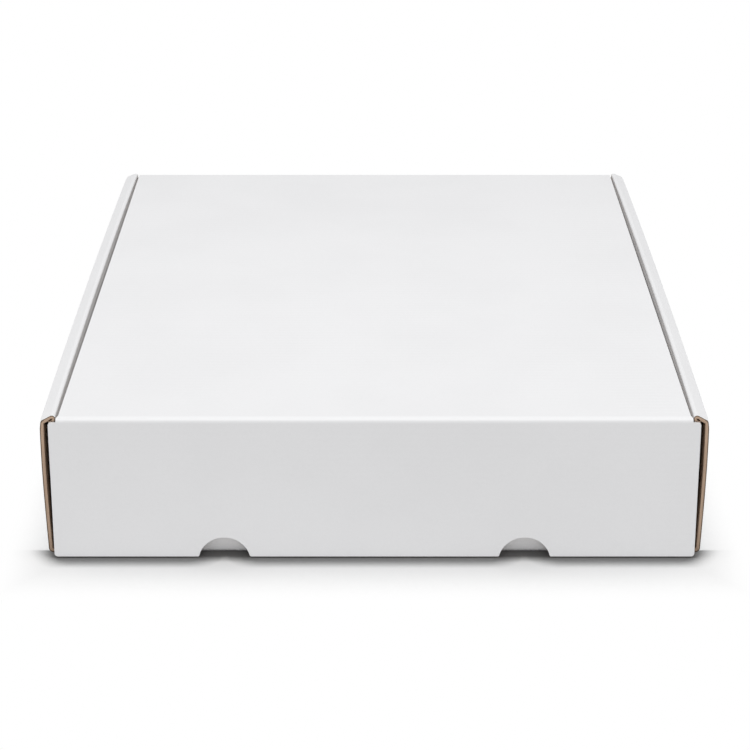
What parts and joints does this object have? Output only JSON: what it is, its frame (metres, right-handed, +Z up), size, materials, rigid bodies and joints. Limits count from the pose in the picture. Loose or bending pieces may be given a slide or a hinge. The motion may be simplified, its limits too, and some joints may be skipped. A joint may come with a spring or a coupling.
{
  "type": "pizza box",
  "caption": "Closed pizza box folded from white corrugated board, with roll-over side walls, a hinged lid between the rolls and a front flap with half-round finger notches.",
  "frame": {"origin": "middle of the floor's underside, where the box rests", "axes": "+X to the right seen from the front, +Y to the back (the lid's fold), +Z up"},
  "size_m": [0.3192, 0.358, 0.0743],
  "materials": {
    "white_board": "matte"
  },
  "bodies": {
    "tray": {"tray": "white_board"},
    "lid": {"lid": "white_board"},
    "front_flap": {"front_flap": "white_board"}
  },
  "joints": [
    {"name": "lid_fold", "type": "hinge", "parent": "tray", "child": "lid", "pos_m": [0, 0.1751, 0.0721], "axis": [-1, 0, 0], "range_deg": [0, 180]},
    {"name": "front_flap_fold", "type": "hinge", "parent": "lid", "child": "front_flap", "pos_m": [0, -0.1773, 0.0721], "axis": [-1, 0, 0], "range_deg": [0, 120]}
  ]
}
